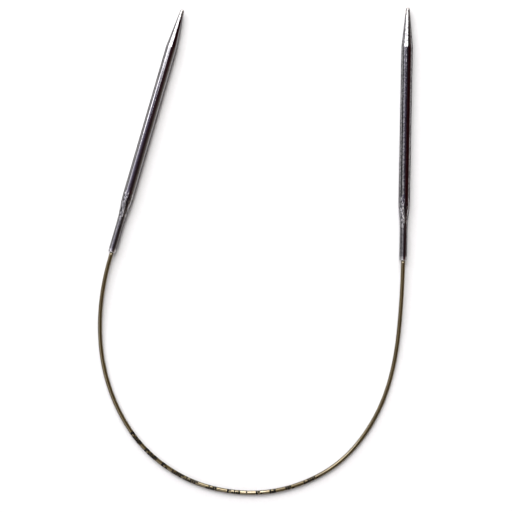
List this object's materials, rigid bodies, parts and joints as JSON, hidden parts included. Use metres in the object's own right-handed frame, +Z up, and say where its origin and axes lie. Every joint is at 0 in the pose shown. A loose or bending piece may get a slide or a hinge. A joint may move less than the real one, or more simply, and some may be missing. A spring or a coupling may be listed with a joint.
{
  "type": "circular knitting needle",
  "caption": "Circular knitting needle: slim hollow metal needles with tapered points and thin necks, joined tail to tail by a flexible round nylon cable lying in an open U.",
  "frame": {"origin": "on the table, under the middle of the box round the two needles", "axes": "+Z up from the table, +Y from the cable's bend towards the needles' points, +X from the left needle to the right one"},
  "size_m": [0.112, 0.1737, 0.004],
  "materials": {
    "nickel_plate": "nickel-plated brass tube, bright with a light satin grain",
    "nylon": "translucent golden-brown nylon, smooth"
  },
  "bodies": {
    "left_end": {"left_needle": "nickel_plate", "left_cable_tail": "nylon", "cable": "nylon"},
    "right_end": {"right_needle": "nickel_plate", "right_cable_tail": "nylon"}
  },
  "joints": [
    {"name": "cable_flex", "type": "hinge", "parent": "left_end", "child": "right_end", "pos_m": [-0.0035, -0.1279, 0.00075], "axis": [0, 0, 1], "range_deg": [-35, 26], "stiffness_Nm_per_rad": 0.0027, "deforming": ["cable"]}
  ]
}
